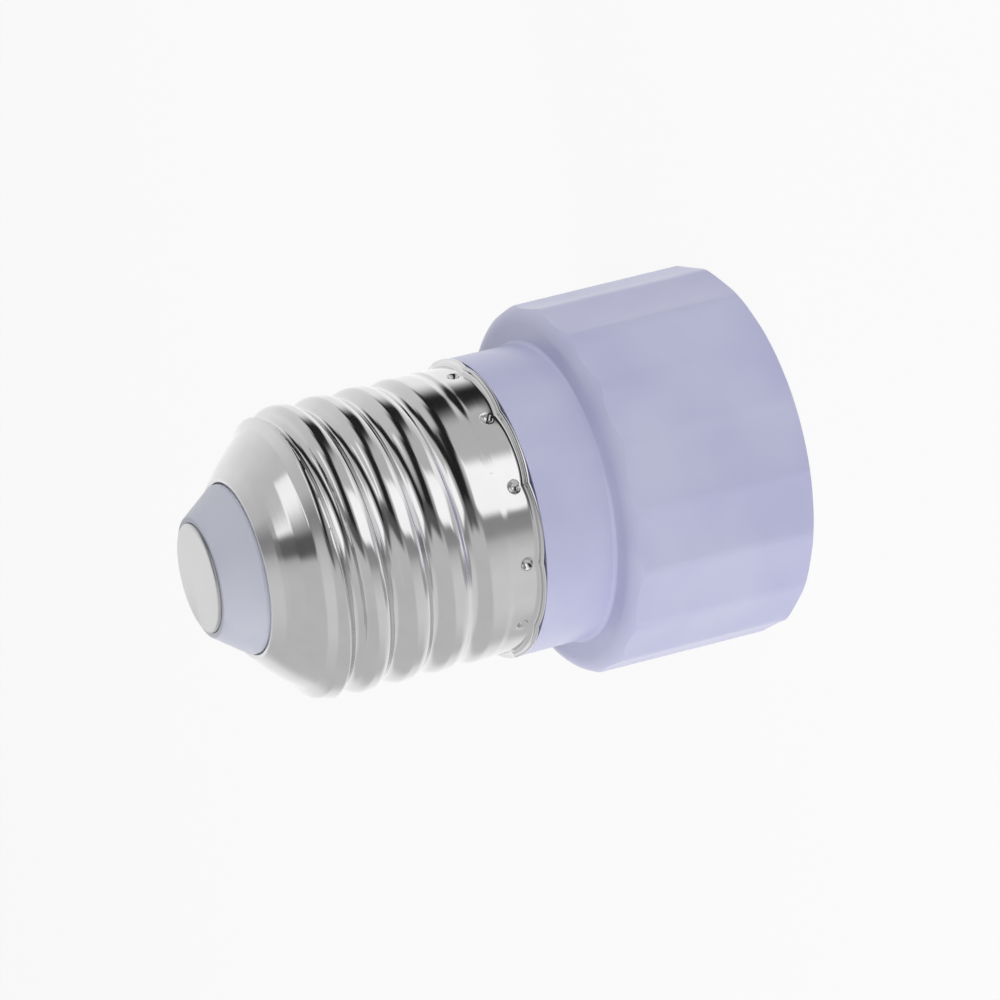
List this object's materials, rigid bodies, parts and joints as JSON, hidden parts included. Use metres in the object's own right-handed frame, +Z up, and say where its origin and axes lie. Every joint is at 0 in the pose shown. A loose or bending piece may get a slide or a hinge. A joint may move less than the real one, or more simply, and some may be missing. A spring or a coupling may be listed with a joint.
{
  "type": "lamp socket adapter",
  "caption": "Lamp socket adapter: polished screw shell with centre contact at one end, white fluted collar with a recessed twist-lock pin socket at the other.",
  "frame": {"origin": "middle of the collar's open rim, on the surface that the adapter stands on", "axes": "+Z up along the lamp axis from the socket's rim to the centre contact; the two keyhole entries lie on X, and the pins turn towards +Y on the +X side"},
  "size_m": [0.0344, 0.0338, 0.0514],
  "materials": {
    "white_plastic": "moulded, satin gloss, cool white",
    "nickel_plate": "polished nickel plate",
    "contact_plate": "satin tinned face",
    "face_plastic": "moulded, dull white",
    "zinc_steel": "zinc plated",
    "spring_bronze": "rolled strip",
    "tinned_core": "tinned copper",
    "brown_sleeve": "smooth sleeve",
    "blue_sleeve": "smooth sleeve"
  },
  "bodies": {
    "root": {"housing": "white_plastic", "screw_shell": "nickel_plate", "tip_insulator": "white_plastic", "centre_contact": "contact_plate", "socket_face": "face_plastic", "face_screws": "zinc_steel", "live_contact": "spring_bronze", "neutral_contact": "spring_bronze", "live_lead_core": "tinned_core", "live_lead_sleeve": "brown_sleeve", "neutral_lead_core": "tinned_core", "neutral_lead_sleeve": "blue_sleeve"}
  },
  "joints": []
}
